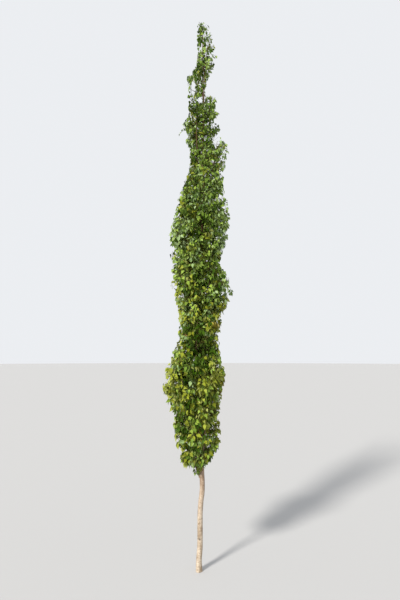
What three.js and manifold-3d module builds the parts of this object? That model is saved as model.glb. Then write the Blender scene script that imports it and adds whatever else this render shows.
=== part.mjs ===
// A young columnar silver birch, rooted in the ground: one trunk, steep boughs, and the masses of leaves
// that they carry. Millimetres, +Z up. The origin is the centre of the flat cut under the trunk. The
// reference view looks along +Y, with +X to its right.
import * as THREE from "three";
import { mergeVertices } from "three/addons/utils/BufferGeometryUtils.js";
import Module from "manifold-3d";

// Whole tree
const TREE_TOP = 4620;
const CLEARANCE = 0.3; // between a limb and the solid that it meets

// Trunk: radii above the root flare and at the tip, and the flare at the ground
const TRUNK_TIP = 4440;
const TRUNK_BASE_RADIUS = 21.5;
const TRUNK_TIP_RADIUS = 2.8;
const TRUNK_TAPER_POWER = 0.85;
const FLARE_RADIUS = 4.5;
const FLARE_HEIGHT = 42;
const FLARE_LOBES = 3;
const FLARE_LOBE_SHARE = 0.35; // of the flare, that it gains and loses round the foot
const TRUNK_SIDES = 12;
const TRUNK_RINGS = 26;
const TRUNK_RING_POWER = 1.4; // above 1, the rings lie closer together low down
const TRUNK_STEP = 10; // between the samples that leaves are tested against

// The trunk's centreline: height, x, y
const TRUNK_LINE = [
  [0, 0, 0],
  [80, 0, 0],
  [170, 7, 2],
  [380, 8, 4],
  [480, 13.375, 1.25],
  [590, 25, 2],
  [780, 19, -5],
  [1150, 4, -8],
  [1550, -5, 6],
  [2000, 10, 12],
  [2400, 24, 0],
  [2850, 14, -12],
  [3300, 33, -4],
  [3800, 36, 9],
  [4200, 29, 5],
  [4440, 31, 0],
];

// The crown's reach from the Z axis in the reference view: height, to the left, to the right
const CROWN = [
  [690, 45, 15],
  [780, 140, 85],
  [930, 182, 165],
  [1150, 215, 155],
  [1340, 282, 190],
  [1450, 280, 210],
  [1600, 225, 168],
  [1770, 170, 162],
  [1940, 166, 196],
  [2100, 208, 270],
  [2230, 236, 262],
  [2360, 222, 172],
  [2550, 250, 232],
  [2820, 200, 252],
  [3000, 150, 218],
  [3200, 84, 212],
  [3420, 100, 274],
  [3500, 168, 168],
  [3600, 150, 188],
  [3700, 94, 178],
  [3860, 106, 140],
  [3950, 96, 66],
  [4040, 118, 76],
  [4160, 38, 138],
  [4260, 18, 160],
  [4430, 24, 128],
  [4560, 18, 104],
  [4620, 10, 62],
];
const CROWN_FOOT = CROWN[0][0];
const LEFT = 1;
const RIGHT = 2;
// Front and back repeat the sides' reach, moved up and down by at most this much
const BACK_SHIFT = 260;
const FRONT_SHIFT = -210;

// Masses of leaves, wound up the trunk by the golden angle
const MASS_COUNT = 27;
const BOUGH_COUNT = 23; // the lowest masses, which stand on boughs; the others meet the trunk
const LOWEST_MASS = 870;
const HIGHEST_MASS = 4400;
const GOLDEN_ANGLE = Math.PI * (3 - Math.sqrt(5));
const FIRST_ANGLE = 2.6;
const MASS_OFFSET = 0.6; // of the crown's reach, from the Z axis to a mass's centre
const LEADER_OFFSET = 0.22; // the same for the highest mass, which carries on from the trunk's tip
const HEIGHT_WEIGHT = 0.42; // heights count this much in the distances that divide the crown
const SPACE_GAP = 300; // mm², the least difference of squared distances to two masses' centres

// Boughs, each with the stem that carries on from it
const LOWEST_ROOT = 640;
const LEAST_ROOT_STEP = 45; // from one bough's root up to the next
const ROOT_DROP = 430; // from a mass's centre down to its bough's root
const STEM_ROOT_DROP = 150; // the same where the stem meets the trunk
const STEM_RISE = 255; // from a mass's centre up to its stem's tip
const LEADER_TIP = 4532;
const ELBOW_SHARE = 0.42; // of the way up, where a bough has turned upright
const TIP_TURN = 0.25; // round the Z axis, from a mass's centre to its stem's tip
const TIP_SPREAD = 1.12; // how much further out the tip lies
const BOUGH_TRUNK_SHARE = 0.42; // of the trunk's radius at the root
const LEAST_ROOT_RADIUS = 3.4;
const LIMB_TIP_RADIUS = 3;
const BOUGH_SIDES = 5;
const BOUGH_RINGS = 3;
const STEM_SIDES = 4;
const STEM_RINGS = 3;
const PATH_STEPS = 60; // sampled along a bough and its stem
const BOUGH_REACH = 16; // the least distance between the trunk's surface and the middle of a bough's tip

// Twigs
const TWIG_SEED = 4121;
const TWIG_SPACING = 82; // along the stem
const TWIG_SPREAD = 0.78; // of a full turn, centred on the way out of the crown
const TWIG_LENGTH = 260;
const TWIG_SHORTEN = 0.88;
const TWIG_TRIES = 12;
const TWIG_LIFT = 0.62; // rise for each unit outwards
const TWIG_LIFT_RANGE = [0.7, 1.3]; // shares of that rise
const TWIG_LENGTH_RANGE = [0.8, 1.2]; // shares of the length
const FIRST_TWIG = 0.06; // of the stem's length, up to the lowest twig
const LAST_TWIG = 0.96; // the same for the highest twig
const TWIG_BASE_RADIUS = 1.9;
const TWIG_TIP_RADIUS = 1.5;
const TWIG_SIDES = 3;
const TWIG_BERTH = 7; // between a limb's surface and a twig's axis
const TWIG_SAMPLES = [0.2, 0.4, 0.6, 0.8, 1];

// Leaves, each of which stands for a spray
const LEAF_SEED = 9233;
const LEAF_SPACING = 30; // along a twig
const LEAF_LENGTH = 126;
const LEAF_WIDTH = 96;
const LEAF_THICKNESS = 2.4;
const LEAF_WIDEST = 0.4; // of the length, from the root
const LEAF_FOLD = 7; // of the blade's sides, above its midrib
const LEAF_ARCH = 8; // of the blade's tip, below its middle
const LEAF_PITCH = -0.75; // of a leaf's length above level, in radians
const TIP_LEAF_PITCH = 1.2; // the same for a leaf on a stem's tip
const LEAF_PITCH_RANGE = [-0.55, 0.55]; // added to either
const LEAF_SWING = 0.9; // sideways from the twig's direction, each way in turn
const LEAF_HEADING_RANGE = [-0.7, 0.7]; // added to it
const HEADING_GROWTH = 0.075; // of that range, each way, from one try to the next
const LEAF_FACING_RANGE = [-1.5, 1.5]; // turned from the way out of the crown
const LEAF_FACE_LIFT = 0.5; // the most that a leaf's face looks up
const LEAF_SIZE_RANGE = [0.9, 1.14]; // shares of the length and width
const TIP_LEAF_SINK = 0.01; // of the route's length, from the stem's tip back to the leaf's root
const OUTER_LEAF = 0.93; // of a twig's length, out to its last leaf
const LEAFED_SHARE = 0.85; // of a twig's length, from that leaf inwards
const LEAF_STEPS = 8; // sampled along a leaf, from the second
const LEAF_TRIES = 26;
const LEAF_SHRINK = 0.985; // from one try to the next
const LIMB_BERTH = 11; // between a limb's surface and the nearest sample of a leaf
const LEAF_BERTH = 10; // between the samples of two leaves
const LEAF_OVERREACH = 1.1; // leaves may reach this share of the crown's outline

// The seeded numbers: each is the last one times the factor, kept under the limit
const RANDOM_FACTOR = 48271;
const RANDOM_LIMIT = 2147483647;

const wasm = await Module();
wasm.setup();

// Numbers from 0 to 1 that are the same in each run.
function seeded(seed) {
  let state = seed;
  return () => {
    state = (state * RANDOM_FACTOR) % RANDOM_LIMIT;
    return state / RANDOM_LIMIT;
  };
}

function between([low, high], random) {
  return low + (high - low) * random();
}

// A column's value at a height: a smooth curve through the rows.
function valueAt(rows, column, height) {
  const last = rows.length - 1;
  const z = THREE.MathUtils.clamp(height, rows[0][0], rows[last][0]);
  let i = 0;
  while (i < last - 1 && z > rows[i + 1][0]) i += 1;
  const slope = (k) =>
    k === 0 || k === last
      ? 0
      : (rows[k + 1][column] - rows[k - 1][column]) / (rows[k + 1][0] - rows[k - 1][0]);
  const span = rows[i + 1][0] - rows[i][0];
  const t = (z - rows[i][0]) / span;
  const rise = rows[i + 1][column] - rows[i][column];
  const a = slope(i) * span - rise;
  const b = -slope(i + 1) * span + rise;
  return rows[i][column] + rise * t + t * (1 - t) * (a * (1 - t) + b * t);
}

function trunkCentre(height) {
  return new THREE.Vector3(valueAt(TRUNK_LINE, 1, height), valueAt(TRUNK_LINE, 2, height), height);
}

function trunkRadius(height) {
  const left = Math.max(0, 1 - height / TRUNK_TIP) ** TRUNK_TAPER_POWER;
  return TRUNK_TIP_RADIUS + (TRUNK_BASE_RADIUS - TRUNK_TIP_RADIUS) * left;
}

// How far the crown reaches from the Z axis at a height, in a direction.
function crownReach(angle, height) {
  const share = (height - CROWN_FOOT) / (TREE_TOP - CROWN_FOOT);
  const bulge = Math.sin(Math.PI * THREE.MathUtils.clamp(share, 0, 1));
  const across = Math.cos(angle) > 0 ? valueAt(CROWN, RIGHT, height) : valueAt(CROWN, LEFT, height);
  const deep =
    Math.sin(angle) > 0
      ? valueAt(CROWN, RIGHT, height + BACK_SHIFT * bulge)
      : valueAt(CROWN, LEFT, height + FRONT_SHIFT * bulge);
  return across * Math.cos(angle) ** 2 + deep * Math.sin(angle) ** 2;
}

function inCrown(point, stretch) {
  if (point.z < CROWN_FOOT || point.z > TREE_TOP) return false;
  return Math.hypot(point.x, point.y) <= stretch * crownReach(Math.atan2(point.y, point.x), point.z);
}

// A point at a share of the crown's reach.
function crownPoint(angle, height, share) {
  const reach = share * crownReach(angle, height);
  return new THREE.Vector3(reach * Math.cos(angle), reach * Math.sin(angle), height);
}

// Each mass: its centre and its stem's route from the trunk to its tip.
function planMass(index) {
  const height = THREE.MathUtils.mapLinear(index, 0, MASS_COUNT - 1, LOWEST_MASS, HIGHEST_MASS);
  const hasBough = index < BOUGH_COUNT;
  const isLeader = index === MASS_COUNT - 1;
  const angle = isLeader ? 0 : FIRST_ANGLE + index * GOLDEN_ANGLE;
  const offset = isLeader ? LEADER_OFFSET : MASS_OFFSET;
  const lowest = LOWEST_ROOT + index * LEAST_ROOT_STEP;
  const rootHeight = Math.max(lowest, height - (hasBough ? ROOT_DROP : STEM_ROOT_DROP));
  const top = isLeader ? LEADER_TIP : height + STEM_RISE;
  const root = isLeader ? trunkCentre(TRUNK_TIP) : trunkCentre(rootHeight);
  const elbowHeight = root.z + (top - root.z) * ELBOW_SHARE;
  const elbow = crownPoint(angle, elbowHeight, offset);
  const tip = crownPoint(angle + TIP_TURN, top, offset * TIP_SPREAD);
  if (isLeader) elbow.copy(root).lerp(tip, 0.5).setZ(elbowHeight);
  return {
    angle,
    hasBough,
    isLeader,
    centre: crownPoint(angle, height, offset),
    path: new THREE.QuadraticBezierCurve3(root, elbow, tip),
    rootRadius: Math.max(LEAST_ROOT_RADIUS, trunkRadius(root.z) * BOUGH_TRUNK_SHARE),
  };
}

const masses = Array.from({ length: MASS_COUNT }, (_, index) => planMass(index));

function weighedDistance(point, centre) {
  const rise = (point.z - centre.z) * HEIGHT_WEIGHT;
  return (point.x - centre.x) ** 2 + (point.y - centre.y) ** 2 + rise ** 2;
}

// Whether a point lies in a mass's own share of the crown, or of a crown stretched sideways.
function inSpace(point, mass, stretch = 1) {
  if (!inCrown(point, stretch)) return false;
  const own = weighedDistance(point, mass.centre) + SPACE_GAP;
  return masses.every((other) => other === mass || own < weighedDistance(point, other.centre));
}

function limbRadius(mass, t) {
  return THREE.MathUtils.lerp(mass.rootRadius, LIMB_TIP_RADIUS, t);
}

// How far a point lies from the trunk's surface, measured level.
function fromTrunk(point) {
  const centre = trunkCentre(point.z);
  return Math.hypot(point.x - centre.x, point.y - centre.y) - trunkRadius(point.z);
}

// Where a mass's route enters its space, clear of the trunk, and where it last lies in it.
for (const mass of masses) {
  const steps = Array.from({ length: PATH_STEPS + 1 }, (_, k) => k / PATH_STEPS);
  const inside = steps.filter((t) => inSpace(mass.path.getPoint(t), mass));
  if (inside.length < 3) throw new Error("a stem misses its mass's space");
  mass.entry = mass.hasBough ? inside.find((t) => fromTrunk(mass.path.getPoint(t)) > BOUGH_REACH) : 0;
  mass.exit = inside[inside.length - 1];
}

// Points along the trunk and the boughs, with radii, that twigs and leaves keep clear of.
const limbSamples = [];
for (let z = 0; z <= TRUNK_TIP; z += TRUNK_STEP) {
  limbSamples.push({ point: trunkCentre(z), radius: trunkRadius(z) });
}
for (const mass of masses.filter((m) => m.hasBough)) {
  for (let k = 0; k <= PATH_STEPS; k += 1) {
    const t = (mass.entry * k) / PATH_STEPS;
    limbSamples.push({ point: mass.path.getPoint(t), radius: limbRadius(mass, t) });
  }
}

function clearOfLimbs(point, berth) {
  return limbSamples.every(
    (limb) =>
      Math.abs(limb.point.z - point.z) > limb.radius + berth ||
      limb.point.distanceTo(point) > limb.radius + berth,
  );
}

function solidOf(geometry) {
  geometry.deleteAttribute("normal");
  geometry.deleteAttribute("uv");
  const merged = mergeVertices(geometry, 1e-3);
  return new wasm.Manifold(
    new wasm.Mesh({
      numProp: 3,
      vertProperties: merged.attributes.position.array,
      triVerts: new Uint32Array(merged.index.array),
    }),
  );
}

// The largest body of a solid: scraps and sealed hollows are left out.
function largestBody(solid) {
  return solid.decompose().sort((a, b) => b.volume() - a.volume())[0];
}

function meshOf(name, solid, material) {
  const { vertProperties, triVerts } = solid.getMesh();
  const geometry = new THREE.BufferGeometry();
  geometry.setAttribute("position", new THREE.BufferAttribute(vertProperties, 3));
  geometry.setIndex(new THREE.BufferAttribute(triVerts, 1));
  geometry.computeVertexNormals();
  const mesh = new THREE.Mesh(geometry, material);
  mesh.name = name;
  return mesh;
}

// A cylinder with each of its points moved.
function reshapedCylinder(sides, rings, place) {
  const geometry = new THREE.CylinderGeometry(1, 1, 1, sides, rings);
  const position = geometry.attributes.position;
  for (let i = 0; i < position.count; i += 1) {
    const placed = place(position.getX(i), position.getZ(i), position.getY(i) + 0.5);
    position.setXYZ(i, placed.x, placed.y, placed.z);
  }
  return solidOf(geometry);
}

// The trunk, with level rings so that its foot is flat.
function trunkSolid(extra) {
  return reshapedCylinder(TRUNK_SIDES, TRUNK_RINGS, (x, y, share) => {
    const height = (TRUNK_TIP + extra) * share ** TRUNK_RING_POWER;
    const lobes = 1 + FLARE_LOBE_SHARE * Math.cos(FLARE_LOBES * Math.atan2(y, x));
    const flare = FLARE_RADIUS * lobes * Math.exp(-height / FLARE_HEIGHT);
    const radius = trunkRadius(height) + flare + extra;
    const centre = trunkCentre(height);
    return new THREE.Vector3(centre.x - x * radius, centre.y + y * radius, height);
  });
}

// A tapering limb along part of a curve.
function limbSolid(curve, from, to, radiusAt, sides, rings) {
  const along = curve.getTangent((from + to) / 2);
  const guide = new THREE.Vector3(-along.y, along.x, 0).normalize();
  if (guide.lengthSq() < 0.5) guide.set(1, 0, 0);
  return reshapedCylinder(sides, rings, (x, y, share) => {
    const t = THREE.MathUtils.lerp(from, to, share);
    const tangent = curve.getTangent(t);
    const across = guide.clone().addScaledVector(tangent, -guide.dot(tangent)).normalize();
    const other = new THREE.Vector3().crossVectors(across, tangent);
    return curve
      .getPoint(t)
      .addScaledVector(across, x * radiusAt(t))
      .addScaledVector(other, y * radiusAt(t));
  });
}

// A twig from its root to a tip in the mass's space, shortened until it fits, or null.
function planTwig(mass, share, turn, random) {
  const root = mass.path.getPoint(share);
  const lift = TWIG_LIFT * between(TWIG_LIFT_RANGE, random);
  const direction = new THREE.Vector3(Math.cos(turn), Math.sin(turn), lift).normalize();
  let length = TWIG_LENGTH * between(TWIG_LENGTH_RANGE, random);
  for (let i = 0; i < TWIG_TRIES; i += 1) {
    const samples = TWIG_SAMPLES.map((s) => root.clone().addScaledVector(direction, s * length));
    if (samples.every((p) => inSpace(p, mass) && clearOfLimbs(p, TWIG_BERTH))) {
      return { root, tip: samples[samples.length - 1], length, turn };
    }
    length *= TWIG_SHORTEN;
  }
  return null;
}

// The golden angle's turns, squeezed towards the way out of the crown.
function twigTurn(mass, k) {
  const turn = (k * GOLDEN_ANGLE) % (2 * Math.PI);
  return mass.angle + TWIG_SPREAD * (turn > Math.PI ? turn - 2 * Math.PI : turn);
}

// A mass's twigs, wound round its stem.
function planTwigs(mass, index) {
  const random = seeded(TWIG_SEED + index);
  const reach = mass.path.getPoint(mass.entry).distanceTo(mass.path.getPoint(mass.exit));
  const count = Math.round(reach / TWIG_SPACING) + 1;
  const twigs = [];
  for (let k = 0; k < count; k += 1) {
    const along = THREE.MathUtils.lerp(FIRST_TWIG, LAST_TWIG, k / (count - 1));
    const share = THREE.MathUtils.lerp(mass.entry, mass.exit, along);
    const twig = planTwig(mass, share, twigTurn(mass, k), random);
    if (twig) twigs.push(twig);
  }
  return twigs;
}

// A point of a leaf, at shares of its length and width and a height above its midrib's plane.
function leafPoint(leaf, along, across, above) {
  return leaf.root
    .clone()
    .addScaledVector(leaf.along, along * leaf.size * LEAF_LENGTH)
    .addScaledVector(leaf.side, across * leaf.size * LEAF_WIDTH)
    .addScaledVector(leaf.face, above);
}

// Points spread over a blade, from near its root to its tip.
function leafSamples(leaf) {
  const samples = [];
  for (let i = 2; i <= LEAF_STEPS; i += 1) {
    const along = i / LEAF_STEPS;
    const half = 0.5 * Math.min(along / LEAF_WIDEST, (1 - along) / (1 - LEAF_WIDEST));
    for (const across of [-half, -half / 2, 0, half / 2, half]) {
      samples.push(leafPoint(leaf, along, across, 0));
    }
  }
  return samples;
}

function leafFits(samples, mass, taken) {
  return samples.every(
    (point) =>
      inSpace(point, mass, LEAF_OVERREACH) &&
      clearOfLimbs(point, LIMB_BERTH) &&
      taken.every((other) => other.distanceToSquared(point) > LEAF_BERTH ** 2),
  );
}

// A leaf at a point of a twig, of the first pose tried that fits, or null. Its samples become taken.
function planLeaf(mass, root, turn, lift, random, taken) {
  const trunk = trunkCentre(root.z);
  const outward = Math.atan2(root.y - trunk.y, root.x - trunk.x);
  for (let i = 0; i < LEAF_TRIES; i += 1) {
    const widened = LEAF_HEADING_RANGE.map((v) => v + Math.sign(v) * HEADING_GROWTH * i);
    const heading = turn + between(widened, random);
    const pitch = lift + between(LEAF_PITCH_RANGE, random);
    const along = new THREE.Vector3(
      Math.cos(heading) * Math.cos(pitch),
      Math.sin(heading) * Math.cos(pitch),
      Math.sin(pitch),
    );
    const facing = outward + between(LEAF_FACING_RANGE, random);
    const face = new THREE.Vector3(Math.cos(facing), Math.sin(facing), LEAF_FACE_LIFT * random());
    face.addScaledVector(along, -face.dot(along)).normalize();
    const side = new THREE.Vector3().crossVectors(along, face);
    const size = between(LEAF_SIZE_RANGE, random) * LEAF_SHRINK ** i;
    const leaf = { root, along, face, side, size };
    const samples = leafSamples(leaf);
    if (leafFits(samples, mass, taken)) {
      taken.push(...samples);
      return leaf;
    }
  }
  return null;
}

// The leaf that stands on the leader's tip and makes the tree's top.
function topLeaf(root) {
  const along = new THREE.Vector3(0, 0, 1);
  const face = new THREE.Vector3(0, -1, 0);
  const side = new THREE.Vector3().crossVectors(along, face);
  return { root, along, face, side, size: (TREE_TOP - root.z) / LEAF_LENGTH };
}

// A folded, slightly arched blade of eight faces.
function leafSolid(leaf) {
  const geometry = new THREE.OctahedronGeometry(1);
  const position = geometry.attributes.position;
  for (let i = 0; i < position.count; i += 1) {
    const [x, y, z] = [position.getX(i), position.getY(i), position.getZ(i)];
    let placed = leafPoint(leaf, LEAF_WIDEST, x / 2, LEAF_FOLD);
    if (y !== 0) placed = leafPoint(leaf, y > 0 ? 1 : 0, 0, y > 0 ? -LEAF_ARCH : 0);
    if (z !== 0) placed = leafPoint(leaf, LEAF_WIDEST, 0, (z * LEAF_THICKNESS) / 2);
    position.setXYZ(i, placed.x, placed.y, placed.z);
  }
  return solidOf(geometry);
}

function twigSolid(twig) {
  const line = new THREE.LineCurve3(twig.root, twig.tip);
  const radiusAt = (t) => THREE.MathUtils.lerp(TWIG_BASE_RADIUS, TWIG_TIP_RADIUS, t);
  return limbSolid(line, 0, 1, radiusAt, TWIG_SIDES, 1);
}

// A mass's leaves: one on its stem's tip, then those along each twig from its tip inwards.
function massLeaves(mass, twigs, index) {
  const random = seeded(LEAF_SEED + index);
  const taken = [];
  for (let t = mass.entry; t < mass.exit; t += 1 / PATH_STEPS) taken.push(mass.path.getPoint(t));
  for (const twig of twigs) {
    for (const share of TWIG_SAMPLES) taken.push(twig.root.clone().lerp(twig.tip, share));
  }
  const tip = mass.path.getPoint(mass.exit - TIP_LEAF_SINK);
  const leaves = [
    mass.isLeader ? topLeaf(tip) : planLeaf(mass, tip, mass.angle, TIP_LEAF_PITCH, random, taken),
  ];
  for (const twig of twigs) {
    const count = Math.max(1, Math.round(twig.length / LEAF_SPACING));
    for (let k = 0; k < count; k += 1) {
      const share = OUTER_LEAF - (LEAFED_SHARE * k) / count;
      const root = twig.root.clone().lerp(twig.tip, share);
      const swing = k === 0 ? 0 : k % 2 ? LEAF_SWING : -LEAF_SWING;
      leaves.push(planLeaf(mass, root, twig.turn + swing, LEAF_PITCH, random, taken));
    }
  }
  return leaves.filter(Boolean);
}

const bark = new THREE.MeshStandardMaterial({ color: 0xd9d2c4, roughness: 0.75, metalness: 0 });
const youngBark = new THREE.MeshStandardMaterial({ color: 0x7a5138, roughness: 0.7, metalness: 0 });
const foliage = new THREE.MeshStandardMaterial({ color: 0x5d7a2b, roughness: 0.55, metalness: 0 });

const tree = new THREE.Group();
const trunkWithClearance = trunkSolid(CLEARANCE);
tree.add(meshOf("trunk", trunkSolid(0), bark));

masses.forEach((mass, index) => {
  const label = String(index + 1).padStart(2, "0");
  const radiusAt = (t) => limbRadius(mass, t);
  const { path, entry, exit } = mass;
  if (mass.hasBough) {
    const bough = limbSolid(path, 0, entry, radiusAt, BOUGH_SIDES, BOUGH_RINGS);
    tree.add(meshOf(`bough_${label}`, largestBody(bough.subtract(trunkWithClearance)), youngBark));
  }
  const gap = mass.hasBough ? CLEARANCE / path.getLength() : 0;
  const stem = limbSolid(path, entry + gap, exit, radiusAt, STEM_SIDES, STEM_RINGS);
  const twigs = planTwigs(mass, index);
  const leaves = massLeaves(mass, twigs, index);
  const whole = [...twigs.map(twigSolid), ...leaves.map(leafSolid)].reduce((sum, s) => sum.add(s), stem);
  const freed = mass.hasBough ? whole : whole.subtract(trunkWithClearance);
  tree.add(meshOf(`foliage_${label}`, largestBody(freed), foliage));
});

export default tree;
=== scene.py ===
# The looks of a young columnar silver birch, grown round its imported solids: bark with relief on
# the trunk and limbs, and fine twigs with leaves in place of each mass of foliage. Metres, +Z up.
# The reference view looks along +Y, with +X to its right.
import math
from itertools import product
from types import SimpleNamespace

import bpy
import numpy as np
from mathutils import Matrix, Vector


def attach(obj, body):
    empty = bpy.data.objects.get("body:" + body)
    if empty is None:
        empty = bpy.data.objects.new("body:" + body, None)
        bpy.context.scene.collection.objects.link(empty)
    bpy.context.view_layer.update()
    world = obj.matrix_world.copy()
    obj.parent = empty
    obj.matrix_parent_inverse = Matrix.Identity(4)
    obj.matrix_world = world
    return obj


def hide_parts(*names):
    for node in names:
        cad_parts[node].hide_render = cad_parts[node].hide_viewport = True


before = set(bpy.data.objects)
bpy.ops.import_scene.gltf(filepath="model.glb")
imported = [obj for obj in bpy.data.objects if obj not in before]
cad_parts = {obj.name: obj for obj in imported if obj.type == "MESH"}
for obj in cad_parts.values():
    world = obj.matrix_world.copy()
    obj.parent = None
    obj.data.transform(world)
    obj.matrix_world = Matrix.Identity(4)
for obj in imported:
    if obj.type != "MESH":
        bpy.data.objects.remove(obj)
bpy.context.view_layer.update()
scene = bpy.context.scene
BODY = "root"
UP = np.array([0.0, 0.0, 1.0])
RIGHT = np.array([1.0, 0.0, 0.0])
STEEP_RISE = 0.9

# Whole tree
TREE_TOP = 4.62

# Trunk: radii above the root flare and at the tip, and the flare at the ground
TRUNK_TIP = 4.44
TRUNK_BASE_RADIUS = 0.0215
TRUNK_TIP_RADIUS = 0.0028
TRUNK_TAPER_POWER = 0.85
FLARE_RADIUS = 0.0045
FLARE_HEIGHT = 0.042
FLARE_LOBES = 3
FLARE_LOBE_SHARE = 0.35
TRUNK_STEP = 0.01

# The trunk's centreline: height, x, y
TRUNK_LINE = np.array([
    [0.000, 0.000, 0.000],
    [0.080, 0.000, 0.000],
    [0.170, 0.007, 0.002],
    [0.380, 0.008, 0.004],
    [0.480, 0.013375, 0.00125],
    [0.590, 0.025, 0.002],
    [0.780, 0.019, -0.005],
    [1.150, 0.004, -0.008],
    [1.550, -0.005, 0.006],
    [2.000, 0.010, 0.012],
    [2.400, 0.024, 0.000],
    [2.850, 0.014, -0.012],
    [3.300, 0.033, -0.004],
    [3.800, 0.036, 0.009],
    [4.200, 0.029, 0.005],
    [4.440, 0.031, 0.000],
])

# The crown's reach from the Z axis in the reference view: height, to the left, to the right
CROWN = np.array([
    [0.690, 0.045, 0.015],
    [0.780, 0.140, 0.085],
    [0.930, 0.182, 0.165],
    [1.150, 0.215, 0.155],
    [1.340, 0.282, 0.190],
    [1.450, 0.280, 0.210],
    [1.600, 0.225, 0.168],
    [1.770, 0.170, 0.162],
    [1.940, 0.166, 0.196],
    [2.100, 0.208, 0.270],
    [2.230, 0.236, 0.262],
    [2.360, 0.222, 0.172],
    [2.550, 0.250, 0.232],
    [2.820, 0.200, 0.252],
    [3.000, 0.150, 0.218],
    [3.200, 0.084, 0.212],
    [3.420, 0.100, 0.274],
    [3.500, 0.168, 0.168],
    [3.600, 0.150, 0.188],
    [3.700, 0.094, 0.178],
    [3.860, 0.106, 0.140],
    [3.950, 0.096, 0.066],
    [4.040, 0.118, 0.076],
    [4.160, 0.038, 0.138],
    [4.260, 0.018, 0.160],
    [4.430, 0.024, 0.128],
    [4.560, 0.018, 0.104],
    [4.620, 0.010, 0.062],
])
CROWN_FOOT = CROWN[0, 0]
BACK_SHIFT = 0.26
FRONT_SHIFT = -0.21

# Masses of leaves, wound up the trunk by the golden angle
MASS_COUNT = 27
BOUGH_COUNT = 23
LOWEST_MASS = 0.87
HIGHEST_MASS = 4.4
GOLDEN_ANGLE = math.pi * (3 - math.sqrt(5))
FIRST_ANGLE = 2.6
MASS_OFFSET = 0.6
LEADER_OFFSET = 0.22
SPACE_WEIGHTS = np.array([1.0, 1.0, 0.42])
SPACE_GAP = 0.0003

# Boughs, each with the stem that carries on from it
LOWEST_ROOT = 0.64
LEAST_ROOT_STEP = 0.045
ROOT_DROP = 0.43
STEM_ROOT_DROP = 0.15
STEM_RISE = 0.255
LEADER_TIP = 4.532
ELBOW_SHARE = 0.42
TIP_TURN = 0.25
TIP_SPREAD = 1.12
BOUGH_TRUNK_SHARE = 0.42
LEAST_ROOT_RADIUS = 0.0034
LIMB_TIP_RADIUS = 0.003
PATH_STEPS = 60
BOUGH_REACH = 0.016

# Twigs along a stem
TWIG_SEED = 4121
TWIG_SPACING = 0.082
TWIG_SPREAD = 0.78
TWIG_LENGTH = 0.26
TWIG_SHORTEN = 0.88
TWIG_TRIES = 12
TWIG_LIFT = 0.62
TWIG_LIFT_RANGE = (0.7, 1.3)
TWIG_LENGTH_RANGE = (0.8, 1.2)
FIRST_TWIG = 0.06
LAST_TWIG = 0.96
TWIG_BERTH = 0.007
TWIG_SAMPLES = np.array([0.2, 0.4, 0.6, 0.8, 1.0])

# Finer growth: twigs along each limb, and sprays on twigs and limbs
TWIG_SAG = 0.13  # of its length
TWIG_RADII = (0.0019, 0.0011)
TWIG_SIDES = 5
TWIG_POINTS = 6
FINE_TWIG_SPACING = 0.045
FINE_TWIG_LENGTH = 0.2
FINE_TWIG_REACH = 0.93
LOW_TWIG_LIFT = -0.4  # of a twig's usual rise, at the crown's foot
HANGING_BELOW = 1.15  # from here down, growth hangs more and more
LIMB_CLEARING = 0.012  # from the trunk to the first growth on a limb
SPRAY_SEED = 7351
SPRAY_SPACING = 0.022
LIMB_SPRAY_SPACING = 0.028
SPRAYED_SHARE = 0.86
SPRAY_SWING = 0.95
SPRAY_HEADING_RANGE = (-0.5, 0.5)
SPRAY_PITCH = 0.65
LOW_SPRAY_PITCH = -0.65
SPRAY_PITCH_RANGE = (-0.45, 0.35)
SPRAY_LENGTH = 0.095
SPRAY_LENGTH_RANGE = (0.5, 1.35)
SPRAY_BEND = 0.2
SPRAY_TRIES = 8
SPRAY_SHORTEN = 0.8
SPRAY_REACHES = (0.72, 1.02)  # shares of the crown's reach, for a ragged edge
SPRAY_BERTH = 0.002
SPRAY_RADII = (0.0011, 0.0006)
SPRAY_SIDES = 3
SPRAY_POINTS = 4
TIP_SPRAYS = 5
TIP_SPRAY_PITCH = 1.2
FULL_BELOW = 2.9  # from here to the next height, the crown opens up
OPEN_ABOVE = 3.7
LEAFED_SHARE = 0.85  # of fine twigs and sprays, above that

# Sprays grown from the nearest twig into gaps near the crown's surface
FILL_SEED = 977
FILL_STEP = 0.031
FILL_SHARES = (0.42, 1.0)
FILL_GAP = 0.024  # from a gap's middle to the nearest leaf
FILL_LONGEST = 0.17
FILL_LIFT = 0.12
FILLED_BELOW = 3.0  # from here up, more and more gaps stay open
FILLED_SHARE = 0.35  # at the tree's top
FILL_TURNS = np.linspace(0, 2 * np.pi, 16)  # where the crown's reach is measured
LIMB_ANCHORS = 20

# Hollows without leaves: centre and half sizes, along x, y and z
HOLLOWS = np.array([
    [0.035, -0.21, 1.675, 0.100, 0.11, 0.085],
    [-0.080, -0.13, 1.860, 0.040, 0.07, 0.035],
    [0.040, -0.14, 2.250, 0.030, 0.07, 0.045],
])

# Gaps that stay open for the reference view: x and z where it sees them, and half sizes
SKY_GAPS = np.array([
    [0.062, 4.272, 0.017, 0.026],
    [0.102, 4.272, 0.012, 0.020],
    [-0.052, 3.965, 0.022, 0.075],
    [0.095, 3.940, 0.052, 0.048],
    [-0.081, 3.840, 0.022, 0.025],
    [0.005, 3.840, 0.020, 0.040],
    [-0.128, 3.510, 0.030, 0.048],
    [0.148, 3.450, 0.037, 0.052],
    [0.240, 3.440, 0.024, 0.020],
])

# Small pockets without leaves near the crown's surface, away from its two sides
POCKET_SEED = 3301
POCKET_COUNT = 64
POCKET_HEIGHTS = (0.95, 3.9)
POCKET_SHARE = 0.95
POCKET_ANGLES = (0.65, 2.5)
POCKET_HALF_SIZES = (0.022, 0.040)
POCKET_STRETCH = 1.3

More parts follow.
